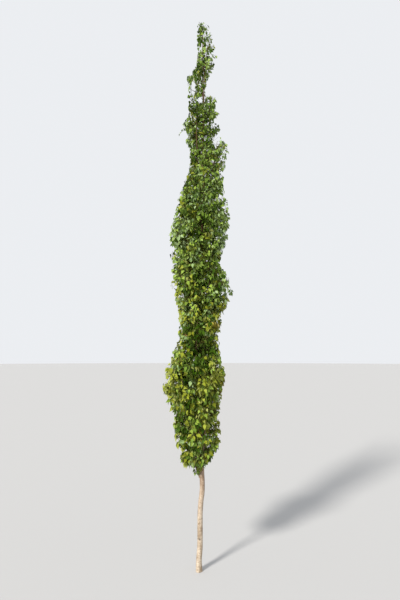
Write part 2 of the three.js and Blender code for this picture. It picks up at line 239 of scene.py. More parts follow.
# Leaves
LEAF_SPACING = 0.0104
FIRST_LEAF = 0.16
LOW_LEAF_LENGTH = 0.043
HIGH_LEAF_LENGTH = 0.030
LEAF_SIZE_RANGE = (0.68, 1.28)
LEAF_WIDTH_SHARE = 0.7
LEAF_SWING = 1.0
LEAF_HEADING_RANGE = (-0.7, 0.7)
LEAF_PITCH = -1.0
LEAF_PITCH_RANGE = (-0.5, 0.65)
LEAF_FACING_RANGE = (-2.3, 2.3)
LEAF_FACE_LIFT = (-0.3, 1.0)
LEAF_FOLD_RANGE = (0.02, 0.24)  # rise of the blade's edges, as a share of its width
LEAF_ARCH_RANGE = (-0.02, 0.26)  # drop of its tip, as a share of its length
LEAF_BEND_RANGE = (-0.1, 0.1)  # its tip's shift sideways
LEAF_TRIES = 6
LEAF_REACH = 1.06
LEAF_BERTH = 0.004
LEAF_ROOM = 0.0118
LEAF_THICKNESS = 0.0004
STALK_LENGTH = 0.014
STALK_RADII = (0.0007, 0.0005)
STALK_SIDES = 3
# A blade's toothed edge and its rib: shares of the length and of half the width
LEAF_EDGE = [[0.09, 0.58], [0.30, 1.00], [0.38, 0.80], [0.55, 0.76], [0.62, 0.50]]
LEAF_RIB = [[0, 0], [1, 0], [0.33, 0], [0.66, 0]]
# Triangles of half a blade, by point: root 0, tip 1, rib 2 and 3, edge from 4
HALF_BLADE = np.array([[4, 5, 0], [5, 2, 0], [5, 6, 2], [6, 7, 2], [7, 8, 2], [8, 3, 2], [8, 1, 3]])

# Rings and sides of the bark, and the shape of a limb at its two ends
TRUNK_SIDES = 48
FINE_RING_TOP = 0.8
FINE_RING_STEP = 0.0024
COARSE_RING_STEP = 0.025
LIMB_SIDES = 8
LIMB_RING_STEP = 0.010
LIMB_SAMPLES = 200
LIMB_BURIED = 0.004  # how deep in the trunk a limb starts
LIMB_THIN_FROM = 0.6  # of its length, from where it thins to its tip
LIMB_TIP_SHARE = 0.5
LIMB_FLARE = 0.45
LIMB_FLARE_REACH = 0.008

# Relief by noise: its strength, its cells round the bark, the spacing of its values and its seed
TRUNK_WAVES = (0.03, 5, 0.07, 1)  # of the radius
TRUNK_GRAIN = (0.00035, 14, 0.012, 2)
LIMB_WAVES = (0.07, 5, 0.03, 11)
LIMB_GRAIN = (0.04, 5, 0.009, 71)

# The trunk's collars round its limbs, in radii of the limb, and how much further down they reach
COLLAR_STEPS = np.linspace(0, 0.3, 80)
COLLAR_SIZE = 2.2
COLLAR_HEIGHT = 0.22
COLLAR_DROP = 2.2

# Pores of the bark, as short level ridges
PORE_SEED = 51
PORE_COUNT = 420
LOWEST_PORE = 0.01
PORE_HALF_WIDTHS = (0.002, 0.0075)
PORE_HALF_HEIGHT = 0.0011
PORE_RIDGE = 0.0004
PORE_EDGE = 1.4  # in its half sizes

# Scars of lost branches: height, angle, half width, half height
SCARS = [
    [0.228, -1.9, 0.0055, 0.0085],
    [0.365, 0.4, 0.0036, 0.0045],
    [0.470, 2.2, 0.0045, 0.0050],
    [0.540, -0.6, 0.0034, 0.0040],
    [0.118, 1.2, 0.0040, 0.0048],
]
SCAR_RIM = 0.0012
SCAR_RIM_WIDTH = 0.4  # in a scar's half sizes, as below
SCAR_PIT = 0.7
SCAR_STAIN = 0.9
SCAR_PIT_SHARE = 0.8  # of the rim's height
BROW_RISE = 1.6
BROW_SLOPE = 0.7
BROW_WIDTH = 0.45
BROW_REACH = 3
BROW_SHARE = 0.7  # of the scar's darkness
EDGE_POWER = 4  # of a pit's or stain's edge

# Camera, light and floor
CAMERA_PLACE = (0.0075, -3.259, 1.60)
CAMERA_PITCH = math.radians(7.97)
CAMERA_LENS = 24
KEY_FROM = (-0.62, -0.74, 0.72)
KEY_STRENGTH = 4.45
KEY_ANGLE = math.radians(9)
KEY_COLOUR = (1, 0.96, 0.9)
SKY_COLOUR = (0.9, 0.92, 0.95, 1)
SKY_STRENGTH = 0.93
FLOOR_RADIUS = 90
FLOOR_SIDES = 64
FLOOR_COLOUR = "#b0b0b0"
FLOOR_FINISH = (0.9, 0.1)

RANDOM_FACTOR = 48271
RANDOM_LIMIT = 2147483647


def seeded(seed):
    """A function that gives numbers from 0 to 1, the same in each run."""
    state = seed

    def draw():
        nonlocal state
        state = (state * RANDOM_FACTOR) % RANDOM_LIMIT
        return state / RANDOM_LIMIT

    return draw


def between(limits, random):
    return limits[0] + (limits[1] - limits[0]) * random()


def lerp(low, high, share):
    return low + (high - low) * share


def lengths(vectors):
    return np.linalg.norm(vectors, axis=-1)


def normalised(vectors):
    return vectors / lengths(vectors)[..., None]


def smooth_curve(rows, column):
    """A function of height that runs smoothly through the rows, level at both ends."""
    heights = rows[:, 0]
    values = rows[:, column]
    slopes = np.zeros(len(rows))
    slopes[1:-1] = (values[2:] - values[:-2]) / (heights[2:] - heights[:-2])

    def value(height):
        z = np.clip(height, heights[0], heights[-1])
        i = np.clip(np.searchsorted(heights, z) - 1, 0, len(heights) - 2)
        span = heights[i + 1] - heights[i]
        t = (z - heights[i]) / span
        rise = values[i + 1] - values[i]
        a = slopes[i] * span - rise
        b = rise - slopes[i + 1] * span
        return values[i] + rise * t + t * (1 - t) * (a * (1 - t) + b * t)

    return value


def eased(share):
    return share * share * (3 - 2 * share)


def noise(u, v, cells, spacing, seed):
    """Smooth noise from -1 to 1 that repeats as u goes from 0 to 1, and has its values spaced along v."""
    rows = int(np.max(v) / spacing) + 3
    grid = np.random.RandomState(seed).uniform(-1, 1, (rows, cells))
    x = u * cells
    y = v / spacing
    i = np.floor(x).astype(int)
    j = np.floor(y).astype(int)
    left = i % cells
    right = (i + 1) % cells
    low = lerp(grid[j, left], grid[j, right], eased(x - i))
    high = lerp(grid[j + 1, left], grid[j + 1, right], eased(x - i))
    return lerp(low, high, eased(y - j))


trunk_x = smooth_curve(TRUNK_LINE, 1)
trunk_y = smooth_curve(TRUNK_LINE, 2)
crown_left = smooth_curve(CROWN, 1)
crown_right = smooth_curve(CROWN, 2)


def trunk_centre(height):
    return np.stack([trunk_x(height), trunk_y(height), height], axis=-1)


def trunk_radius(height):
    left = np.maximum(0, 1 - height / TRUNK_TIP) ** TRUNK_TAPER_POWER
    return lerp(TRUNK_TIP_RADIUS, TRUNK_BASE_RADIUS, left)


def crown_reach(angle, height):
    """How far the crown reaches from the Z axis at a height, in a direction."""
    share = np.clip((height - CROWN_FOOT) / (TREE_TOP - CROWN_FOOT), 0, 1)
    bulge = np.sin(np.pi * share)
    across = np.where(np.cos(angle) > 0, crown_right(height), crown_left(height))
    back = crown_right(height + BACK_SHIFT * bulge)
    front = crown_left(height + FRONT_SHIFT * bulge)
    deep = np.where(np.sin(angle) > 0, back, front)
    return across * np.cos(angle) ** 2 + deep * np.sin(angle) ** 2


def crown_share(points):
    """How far out points lie, as shares of the crown's reach."""
    angles = np.arctan2(points[..., 1], points[..., 0])
    return np.hypot(points[..., 0], points[..., 1]) / crown_reach(angles, points[..., 2])


def in_crown(points, stretch=1.0):
    heights = points[..., 2]
    return (heights >= CROWN_FOOT) & (heights <= TREE_TOP) & (crown_share(points) <= stretch)


def seen_place(points):
    """Where the reference view sees points: x and z in the upright plane through the trunk's foot."""
    distance = -CAMERA_PLACE[1]
    eye = CAMERA_PLACE[2]
    nearness = distance / (distance + points[..., 1])
    return points[..., 0] * nearness, eye + (points[..., 2] - eye) * nearness


def in_outline(points, stretch):
    """Whether the reference view sees points within the crown's reach to both sides."""
    x, z = seen_place(points)
    return (x > -stretch * crown_left(z)) & (x < stretch * crown_right(z))


def in_reach(points, stretch):
    return in_crown(points, stretch).all() and in_outline(points, stretch).all()


def crown_point(angle, height, share):
    reach = share * crown_reach(angle, height)
    return np.array([reach * math.cos(angle), reach * math.sin(angle), height])


def bezier(ends, t):
    """Points of the curve from the first of three points to the last, drawn towards the middle one."""
    t = np.asarray(t)[..., None]
    return (1 - t) ** 2 * ends[0] + 2 * t * (1 - t) * ends[1] + t**2 * ends[2]


def plan_mass(index):
    """A mass's centre and its stem's route from the trunk to its tip."""
    height = lerp(LOWEST_MASS, HIGHEST_MASS, index / (MASS_COUNT - 1))
    has_bough = index < BOUGH_COUNT
    is_leader = index == MASS_COUNT - 1
    angle = 0 if is_leader else FIRST_ANGLE + index * GOLDEN_ANGLE
    offset = LEADER_OFFSET if is_leader else MASS_OFFSET
    lowest = LOWEST_ROOT + index * LEAST_ROOT_STEP
    root_height = max(lowest, height - (ROOT_DROP if has_bough else STEM_ROOT_DROP))
    top = LEADER_TIP if is_leader else height + STEM_RISE
    root = trunk_centre(TRUNK_TIP if is_leader else root_height)
    elbow_height = lerp(root[2], top, ELBOW_SHARE)
    elbow = crown_point(angle, elbow_height, offset)
    tip = crown_point(angle + TIP_TURN, top, offset * TIP_SPREAD)
    if is_leader:
        elbow = np.append((root[:2] + tip[:2]) / 2, elbow_height)
    return SimpleNamespace(
        index=index, label=f"{index + 1:02d}", angle=angle, has_bough=has_bough, is_leader=is_leader,
        centre=crown_point(angle, height, offset),
        path=[root, elbow, tip],
        root_radius=max(LEAST_ROOT_RADIUS, trunk_radius(root[2]) * BOUGH_TRUNK_SHARE),
    )


masses = [plan_mass(index) for index in range(MASS_COUNT)]
centres = np.array([mass.centre for mass in masses])


def in_space(points, mass):
    """Whether points lie in a mass's own share of the crown."""
    squares = ((points[:, None] - centres) * SPACE_WEIGHTS) ** 2
    distances = squares.sum(axis=-1)
    distances[:, mass.index] += SPACE_GAP
    return in_crown(points) & (distances.argmin(axis=-1) == mass.index)


def limb_radius(mass, t):
    return lerp(mass.root_radius, LIMB_TIP_RADIUS, t)


def from_trunk(points):
    """How far points lie from the trunk's surface, measured level."""
    offsets = points - trunk_centre(points[..., 2])
    return np.hypot(offsets[..., 0], offsets[..., 1]) - trunk_radius(points[..., 2])


def find_stem(mass):
    """Where a mass's route enters its space, clear of the trunk, and where it last lies in it."""
    steps = np.linspace(0, 1, PATH_STEPS + 1)
    points = bezier(mass.path, steps)
    inside = in_space(points, mass)
    clear = inside & (from_trunk(points) > BOUGH_REACH)
    mass.entry = steps[clear][0] if mass.has_bough else 0.0
    mass.start = 0.0 if mass.is_leader else steps[from_trunk(points) > LIMB_CLEARING][0]
    mass.exit = steps[inside][-1]


def sampled_limbs(far_ends):
    """Points along the trunk and each limb up to its far end, and the radii there."""
    heights = np.arange(0, TRUNK_TIP + TRUNK_STEP / 2, TRUNK_STEP)
    points = [trunk_centre(heights)]
    radii = [trunk_radius(heights)]
    for mass, end in zip(masses, far_ends):
        steps = np.linspace(0, end, PATH_STEPS + 1)
        points.append(bezier(mass.path, steps))
        radii.append(limb_radius(mass, steps))
    return np.concatenate(points), np.concatenate(radii)


def clear_of(limbs, points, berth):
    """Whether points keep a berth from the limbs' surfaces."""
    limb_points, limb_radii = limbs
    return (lengths(points[:, None] - limb_points) > limb_radii + berth).all()


for mass in masses:
    find_stem(mass)
bare_limbs = sampled_limbs([mass.entry for mass in masses])
all_limbs = sampled_limbs([mass.exit for mass in masses])


def hanging(height, usual, low):
    """A measure of growth that goes from its usual value to a low one at the crown's foot."""
    return np.interp(height, [CROWN_FOOT, HANGING_BELOW], [low, usual])


def is_leafed(height, random):
    """Whether a twig or spray grows at a height, where some are missing if the crown is open."""
    return random() < np.interp(height, [FULL_BELOW, OPEN_ABOVE], [1, LEAFED_SHARE])


def plan_pockets():
    """The centres and half sizes of small pockets, spread up the front and the back of the crown."""
    random = seeded(POCKET_SEED)
    pockets = []
    for index in range(POCKET_COUNT):
        angle = between(POCKET_ANGLES, random) * (1 if index % 2 else -1)
        height = lerp(*POCKET_HEIGHTS, (index + random()) / POCKET_COUNT)
        size = between(POCKET_HALF_SIZES, random)
        pockets.append([*crown_point(angle, height, POCKET_SHARE), size, size, size * POCKET_STRETCH])
    return np.array(pockets)


hollows = np.concatenate([HOLLOWS, plan_pockets()])


def in_any(point, shapes, stretch=1.0):
    """Whether a point lies in any ellipsoid or ellipse, given by its middle and half sizes."""
    middles, half_sizes = np.split(shapes, 2, axis=1)
    return (lengths((point - middles) / half_sizes) < stretch).any()


def stays_open(point):
    return in_any(point, hollows) or in_any(seen_place(point), SKY_GAPS)


def plan_twig(root, turn, longest, rise, fits, random):
    """A twig from its root to a tip, shortened until its samples fit, or None."""
    lift = rise * TWIG_LIFT * between(TWIG_LIFT_RANGE, random)
    direction = normalised(np.array([math.cos(turn), math.sin(turn), lift]))
    length = longest * between(TWIG_LENGTH_RANGE, random)
    for _ in range(TWIG_TRIES):
        samples = root + TWIG_SAMPLES[:, None] * direction * length
        if fits(samples):
            tip = samples[-1]
            middle = (root + tip) / 2 - UP * TWIG_SAG * length
            return SimpleNamespace(path=[root, middle, tip], length=length, turn=turn)
        length *= TWIG_SHORTEN
    return None


def twig_turn(mass, k):
    """The golden angle's turns, squeezed towards the way out of the crown."""
    turn = (k * GOLDEN_ANGLE) % (2 * math.pi)
    return mass.angle + TWIG_SPREAD * (turn - 2 * math.pi if turn > math.pi else turn)


def limb_length(mass, start, end):
    ends = bezier(mass.path, [start, end])
    return lengths(ends[1] - ends[0])


def points_up_limb(mass, spacing):
    count = round(limb_length(mass, mass.start, mass.exit) / spacing)
    shares = (np.arange(count) + 0.5) / count
    return bezier(mass.path, lerp(mass.start, mass.exit, shares))


def plan_twigs(mass):
    """A mass's main twigs, wound round its stem."""

    def fits(samples):
        return in_space(samples, mass).all() and clear_of(bare_limbs, samples, TWIG_BERTH)

    random = seeded(TWIG_SEED + mass.index)
    count = round(limb_length(mass, mass.entry, mass.exit) / TWIG_SPACING) + 1
    twigs = []
    for k in range(count):
        along = lerp(FIRST_TWIG, LAST_TWIG, k / (count - 1))
        root = bezier(mass.path, lerp(mass.entry, mass.exit, along))
        twigs.append(plan_twig(root, twig_turn(mass, k), TWIG_LENGTH, 1, fits, random))
    return [twig for twig in twigs if twig]


def fine_twig_fits(samples):
    is_clear = clear_of(all_limbs, samples[1:], TWIG_BERTH)
    return is_clear and in_reach(samples, FINE_TWIG_REACH) and not stays_open(samples[-1])


def plan_fine_twigs(mass):
    """Finer twigs all the way up a limb, between the main ones."""
    random = seeded(TWIG_SEED + MASS_COUNT + mass.index)
    twigs = []
    for k, root in enumerate(points_up_limb(mass, FINE_TWIG_SPACING)):
        turn = mass.angle + math.pi / 2 + k * GOLDEN_ANGLE
        rise = hanging(root[2], 1, LOW_TWIG_LIFT)
        if is_leafed(root[2], random):
            twigs.append(plan_twig(root, turn, FINE_TWIG_LENGTH, rise, fine_twig_fits, random))
    return [twig for twig in twigs if twig]


def pointing(heading, pitch):
    level = math.cos(pitch)
    return np.array([math.cos(heading) * level, math.sin(heading) * level, math.sin(pitch)])


def plan_spray(root, heading, pitch, length, reach):
    """A spray's axis, bent upwards and shortened until it fits, or None."""
    direction = pointing(heading, pitch)
    for _ in range(SPRAY_TRIES):
        middle = root + direction * length / 2
        tip = root + direction * length + UP * SPRAY_BEND * length
        path = [root, middle, tip]
        samples = bezier(path, [0.5, 1.0])
        fits = in_reach(samples, reach) and clear_of(all_limbs, samples, SPRAY_BERTH)
        if fits and not stays_open(tip):
            return SimpleNamespace(path=path, length=length, heading=heading)
        length *= SPRAY_SHORTEN
    return None


def grow_spray(root, heading, pitch, random):
    """A spray with a heading and a pitch near the given ones, unless the crown is open there."""
    heading += between(SPRAY_HEADING_RANGE, random)
    pitch += between(SPRAY_PITCH_RANGE, random)
    length = SPRAY_LENGTH * between(SPRAY_LENGTH_RANGE, random)
    reach = between(SPRAY_REACHES, random)
    if not is_leafed(root[2], random):
        return None
    return plan_spray(root, heading, pitch, length, reach)


def spray_pitch(height):
    return hanging(height, SPRAY_PITCH, LOW_SPRAY_PITCH)


def plan_sprays(mass, twigs):
    """A mass's sprays: along each twig from its tip inwards, up its limb, and on its limb's tip."""
    random = seeded(SPRAY_SEED + mass.index)
    sprays = []
    for twig in twigs:
        count = max(2, round(twig.length / SPRAY_SPACING))
        for k in range(count):
            root = bezier(twig.path, 1 - SPRAYED_SHARE * k / count)
            swing = 0 if k == 0 else SPRAY_SWING * (1 if k % 2 else -1)
            sprays.append(grow_spray(root, twig.turn + swing, spray_pitch(root[2]), random))
    for k, root in enumerate(points_up_limb(mass, LIMB_SPRAY_SPACING)):
        sprays.append(grow_spray(root, mass.angle + k * GOLDEN_ANGLE, spray_pitch(root[2]), random))
    tip = bezier(mass.path, mass.exit)
    for k in range(TIP_SPRAYS):
        sprays.append(grow_spray(tip, mass.angle + k * GOLDEN_ANGLE, TIP_SPRAY_PITCH, random))
    return [spray for spray in sprays if spray]


def leaf_length(height):
    """The mean length of leaves, which falls fastest just above the crown's foot."""
    share = max(0, height - CROWN_FOOT) / (TREE_TOP - CROWN_FOOT)
    return lerp(LOW_LEAF_LENGTH, HIGH_LEAF_LENGTH, math.sqrt(share))


class Room:
    """The middles of the leaves so far, in cells, which keep the search for near ones short."""

    def __init__(self):
        self.cells = {}
        self.points = []

    def takes(self, point):
        """Adds a point, unless another is too near, and says whether it did."""
        cell = tuple(int(c // LEAF_ROOM) for c in point)
        near = product(*[(c - 1, c, c + 1) for c in cell])
        others = [other for place in near for other in self.cells.get(place, ())]
        is_free = all(lengths(other - point) > LEAF_ROOM for other in others)
        if is_free:
            self.cells.setdefault(cell, []).append(point)
            self.points.append(point)
        return is_free


room = Room()


def plan_leaf(node, turn, random):
    """A leaf on a stalk from a point of a spray, of the first pose tried that fits, or None."""
    outward = math.atan2(node[1] - trunk_y(node[2]), node[0] - trunk_x(node[2]))
    for _ in range(LEAF_TRIES):
        heading = turn + between(LEAF_HEADING_RANGE, random)
        along = pointing(heading, LEAF_PITCH + between(LEAF_PITCH_RANGE, random))
        facing = outward + between(LEAF_FACING_RANGE, random)
        face = np.array([math.cos(facing), math.sin(facing), between(LEAF_FACE_LIFT, random)])
        face = normalised(face - along * (face @ along))
        side = np.cross(along, face)
        length = leaf_length(node[2]) * between(LEAF_SIZE_RANGE, random)
        root = node + STALK_LENGTH * normalised(pointing(heading, 0) + along)
        middle = root + along * length / 2
        half = side * length * LEAF_WIDTH_SHARE / 2
        tip = root + along * length
        level_tip = np.append(tip[:2], middle[2])
        samples = np.array([middle, middle + half, middle - half, level_tip])
        is_clear = clear_of(all_limbs, np.array([middle, tip]), LEAF_BERTH)
        fits = is_clear and in_reach(samples, LEAF_REACH) and not stays_open(middle)
        if fits and room.takes(middle):
            leaf = SimpleNamespace(node=node, root=root, along=along, side=side, face=face, length=length)
            leaf.fold = between(LEAF_FOLD_RANGE, random)
            leaf.arch = between(LEAF_ARCH_RANGE, random)
            leaf.bend = between(LEAF_BEND_RANGE, random)
            return leaf
    return None


def plan_leaves(spray, random):
    """The leaves along a spray, on alternate sides, with one at its tip."""
    count = max(2, round(spray.length / LEAF_SPACING))
    tint = spray_tint(spray, random)
    leaves = []
    for k in range(count):
        share = lerp(FIRST_LEAF, 1, k / (count - 1))
        swing = 0 if k == count - 1 else LEAF_SWING * (1 if k % 2 else -1)
        leaf = plan_leaf(bezier(spray.path, share), spray.heading + swing, random)
        if leaf:
            leaf.tint = tint
            leaves.append(leaf)
    return leaves


def leaf_out(mass, sprays):
    """Gives a mass the sprays that get leaves, and those leaves."""
    random = seeded(SPRAY_SEED + MASS_COUNT + mass.index)
    grown = [(spray, plan_leaves(spray, random)) for spray in sprays]
    mass.sprays = [spray for spray, leaves in grown if leaves]
    mass.leaves = [leaf for _, leaves in grown for leaf in leaves]


def fill_targets(random):
    """Points spread a step apart near the crown's surface, fewer towards its top."""
    targets = []
    for height in np.arange(CROWN_FOOT + FILL_STEP / 2, TREE_TOP, FILL_STEP):
        mean_reach = crown_reach(FILL_TURNS, height).mean()
        count = round(2 * math.pi * mean_reach / FILL_STEP)
        for k in range(count):
            angle = 2 * math.pi * (k + random()) / count
            target = crown_point(angle, height, between(FILL_SHARES, random))
            wanted = random() < np.interp(height, [FILLED_BELOW, TREE_TOP], [1, FILLED_SHARE])
            if wanted and in_outline(target, FILL_SHARES[1]) and not stays_open(target):
                targets.append(target)
    return targets


def fill_anchors():
    """Points along every twig and limb, each with its mass."""
    anchors = []
    for mass in masses:
        paths = [bezier(twig.path, TWIG_SAMPLES) for twig in mass.twigs]
        paths.append(bezier(mass.path, np.linspace(mass.start, mass.exit, LIMB_ANCHORS)))
        anchors += [(point, mass) for path in paths for point in path]
    return anchors


def fill_gaps():
    """Grows leafy sprays from the nearest twigs to points that no leaf is near."""
    random = seeded(FILL_SEED)
    anchors = fill_anchors()
    starts = np.array([point for point, _ in anchors])
    taken = np.array(room.points)
    for target in fill_targets(random):
        root, mass = anchors[lengths(starts - target).argmin()]
        length = lengths(target - root)
        is_gap = lengths(taken - target).min() > FILL_GAP
        middle = (root + target) / 2 + UP * FILL_LIFT * length
        is_clear = clear_of(all_limbs, middle[None], SPRAY_BERTH)
        if length > FILL_LONGEST or not is_gap or not is_clear:
            continue
        heading = math.atan2(target[1] - root[1], target[0] - root[0])
        spray = SimpleNamespace(path=[root, middle, target], length=length, heading=heading)
        leaves = plan_leaves(spray, random)
        if leaves:
            mass.sprays.append(spray)
            mass.leaves += leaves
            taken = np.concatenate([taken, room.points[len(taken) :]])


# Tints of leaves: the upper side and the lower side
TINTS = {
    # The shade tint is painted shade: a dark green for leaves where shade falls in the crown
    "shade": ("#36500b", "#4f6524"),
    "deep": ("#627c2a", "#7a8e4a"),
    "mid": ("#829a3b", "#8ea35f"),
    "fresh": ("#849b46", "#93a766"),
    # This pale bluish tint is a painted sheen: the sky glinting on glossy leaves
    "sky_sheen": ("#879f66", "#93a775"),
    "dark_olive": ("#747c20", "#848a46"),
    "olive": ("#87902b", "#949a52"),
    "lime": ("#919b38", "#9da55c"),
    "yellow": ("#a3973a", "#aca062"),
    "russet": ("#86683c", "#907a54"),
}
STALK_COLOUR = "#73773a"
UPPER_FINISH = (0.36, 0.10)  # roughness and gloss
LOWER_FINISH = (0.62, 0.08)
TWIG_FINISH = (0.6, 0.1)

# How often each tint comes at some heights, in the order above; the darker tints weigh more at the foot,
# as painted shade under the crown above, and the shade tint more towards the top, darkening the upper
# crown
TINT_HEIGHTS = [0.85, 1.35, 2.5, 3.3, 4.3]
TINT_SHARES = np.array([
    [0.03, 0.14, 0.20, 0.04, 0.03, 0.29, 0.26, 0.02, 0.002, 0.002],
    [0.02, 0.06, 0.20, 0.05, 0.03, 0.23, 0.36, 0.10, 0.004, 0.002],
    [0.01, 0.07, 0.36, 0.20, 0.31, 0.02, 0.04, 0.00, 0.000, 0.000],
    [0.15, 0.33, 0.26, 0.08, 0.20, 0.02, 0.01, 0.00, 0.000, 0.000],
    [0.28, 0.36, 0.22, 0.04, 0.10, 0.02, 0.00, 0.00, 0.000, 0.000],
])


def tint_shares(**shares):
    return np.array([shares.get(name, 0.0) for name in TINTS])


# What is added as painted shade deep in the crown, round hollows and in dark clumps at random places
INNER_SHADE_TINTS = tint_shares(shade=0.7, deep=0.5, dark_olive=0.4)
HOLLOW_SHADE_TINTS = tint_shares(shade=9.0, deep=0.4, dark_olive=0.3)
HOLLOW_RIM = 1.6
CLUMP_SHADE_TINTS = tint_shares(shade=0.3, deep=0.6)
CLUMP_SEED = 23
CLUMP_COUNT = 9  # round the crown
CLUMP_HEIGHT = 0.13

# What is added in two patches, and how these fade in and out: places and strength along x, then z
LEFT_PATCH = (
    tint_shares(mid=0.1, fresh=0.5, olive=0.6, lime=1.4, yellow=0.06),
    ([-0.24, -0.12], [1, 0]),
    ([2.0, 2.3], [1, 0]),
)
RIGHT_PATCH = (
    tint_shares(olive=1.0, lime=1.0, yellow=0.22, russet=0.04),
    ([0.05, 0.12], [0, 1]),
    ([1.2, 1.4, 1.8, 2.0], [0, 1, 1, 0]),
)


def spray_tint(spray, random):
    """The number of a spray's tint, drawn by the shares that tints have at its tip, with painted shade
    added deep in the crown, round hollows and in dark clumps.
    """
    tip = spray.path[2]
    x, y, z = tip
    shade_depth = max(0, 1 - crown_share(tip))
    turn = math.atan2(y, x) / (2 * math.pi) + 0.5
    clump_shade = max(0, noise(turn, z, CLUMP_COUNT, CLUMP_HEIGHT, CLUMP_SEED))
    weights = np.array([np.interp(z, TINT_HEIGHTS, shares) for shares in TINT_SHARES.T])
    # Painted shade: darker tints deep in the crown, in dark clumps and round hollows
    weights += shade_depth * INNER_SHADE_TINTS + clump_shade * CLUMP_SHADE_TINTS
    weights += in_any(tip, hollows, HOLLOW_RIM) * HOLLOW_SHADE_TINTS
    for tints, across, up in (LEFT_PATCH, RIGHT_PATCH):
        weights += np.interp(x, *across) * np.interp(z, *up) * tints
    return int(np.searchsorted(np.cumsum(weights / weights.sum()), random()))


def put(name, data):
    """A new object in the scene."""
    item = bpy.data.objects.new(name, data)
    scene.collection.objects.link(item)
    return item


class Gathered:
    """Points and faces gathered for one joined mesh, with a material's number for each face."""

    def __init__(self):
        self.points = []
        self.faces = []
        self.kinds = []
        self.total = 0

    def add(self, points, *parts):
        """Adds points and their parts: faces, counted from the first of these points, and kinds."""
        for faces, kinds in parts:
            self.faces.extend((faces + self.total).tolist())
            self.kinds.append(kinds)
        self.points.append(points)
        self.total += len(points)

    def add_tubes(self, points, kinds):
        """Adds closed tubes, each of its own kind, from points by tube, ring, side and coordinate."""
        count, rings, sides = points.shape[:3]
        starts = (np.arange(count) * rings * sides)[:, None, None]
        walls = tube_faces(rings, sides)
        ring = np.arange(sides)
        ends = np.array([ring[::-1], ring + (rings - 1) * sides])
        self.add(
            points.reshape(-1, 3),
            ((walls + starts).reshape(-1, 4), np.repeat(kinds, len(walls))),
            ((ends + starts).reshape(-1, sides), np.repeat(kinds, len(ends))),
        )

    def piece(self, name, materials, slot, *nodes):
        mesh = bpy.data.meshes.new(name)
        mesh.from_pydata(np.concatenate(self.points).tolist(), [], self.faces)
        for material in materials:
            mesh.materials.append(material)
        mesh.polygons.foreach_set("material_index", np.concatenate(self.kinds))
        mesh.polygons.foreach_set("use_smooth", np.ones(len(mesh.polygons), bool))
        piece = put(name, mesh)
        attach(piece, BODY)
        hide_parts(*nodes)
        return piece


def tube_faces(rings, sides):
    """The quads of one tube whose points are counted ring by ring."""
    ring = np.arange(rings - 1)[:, None] * sides
    side = np.arange(sides)[None]
    following = (side + 1) % sides
    corners = [ring + side, ring + following, ring + sides + following, ring + sides + side]
    return np.stack(corners, axis=-1).reshape(-1, 4)


def tube_points(paths, radii, sides):
    """Points of tubes round paths that have the same number of points: tube, ring, side, coordinate."""
    tangents = normalised(np.gradient(paths, axis=1))
    mean = normalised(paths[:, -1] - paths[:, 0])
    steep = np.abs(mean[:, 2:]) > STEEP_RISE
    guides = np.where(steep, RIGHT, UP)[:, None]
    across = normalised(guides - tangents * (guides * tangents).sum(axis=-1, keepdims=True))
    other = np.cross(tangents, across)
    turns = np.arange(sides) * 2 * np.pi / sides
    spokes = across[:, :, None] * np.cos(turns)[:, None] + other[:, :, None] * np.sin(turns)[:, None]
    return paths[:, :, None] + np.asarray(radii)[..., None, None] * spokes


def leaf_template():
    """A flat blade's points, as shares of its length and width, and its triangles."""
    edges = [[along, side * across / 2] for side in (1, -1) for along, across in LEAF_EDGE]
    mirrored = np.where(HALF_BLADE < len(LEAF_RIB), HALF_BLADE, HALF_BLADE + len(LEAF_EDGE))
    return np.array(LEAF_RIB + edges), np.concatenate([HALF_BLADE, mirrored[:, ::-1]])


LEAF_POINTS, LEAF_TRIANGLES = leaf_template()


def add_leaves(shape, leaves):
    """Adds each leaf's blade, as an upper and a lower layer that meet at its edge, and its stalk."""
    count = len(leaves)
    each = SimpleNamespace()
    for name in vars(leaves[0]):
        values = np.array([getattr(leaf, name) for leaf in leaves])
        setattr(each, name, values.reshape(count, 1, -1))
    a = LEAF_POINTS[:, :1]
    b = LEAF_POINTS[:, 1:]
    width = each.length * LEAF_WIDTH_SHARE
    upper = (
        each.root
        + each.along * (a * each.length)
        + each.side * (b * width + each.bend * a**2 * each.length)
        + each.face * (2 * each.fold * np.abs(b) * width - each.arch * a**2 * each.length)
    )
    inner = (b == 0) & (a > 0) & (a < 1)
    lower = upper - each.face * (inner * LEAF_THICKNESS)
    points = np.stack([upper, lower], axis=1)
    triangles = np.stack([LEAF_TRIANGLES, LEAF_TRIANGLES[:, ::-1] + len(LEAF_POINTS)])
    starts = np.arange(count)[:, None, None, None] * 2 * len(LEAF_POINTS)
    kinds = np.repeat(2 * each.tint[:, 0] + [0, 1], len(LEAF_TRIANGLES))
    shape.add(points.reshape(-1, 3), ((triangles + starts).reshape(-1, 3), kinds))
    stalks = np.concatenate([each.node, each.root], axis=1)
    stalk_kinds = np.full(count, 2 * len(TINTS))
    shape.add_tubes(tube_points(stalks, STALK_RADII, STALK_SIDES), stalk_kinds)


def linear(colour):
    """A colour written as sRGB in hexadecimal, as the shader takes it."""
    values = [int(colour[i : i + 2], 16) / 255 for i in (1, 3, 5)]
    return [v / 12.92 if v <= 0.04045 else ((v + 0.055) / 1.055) ** 2.4 for v in values] + [1]


def plain_material(name, colour, roughness, gloss):
    material = bpy.data.materials.new(name)
    material.use_nodes = True
    shader = material.node_tree.nodes["Principled BSDF"]
    shader.inputs["Base Color"].default_value = linear(colour)
    shader.inputs["Roughness"].default_value = roughness
    shader.inputs["Specular IOR Level"].default_value = gloss
    return material


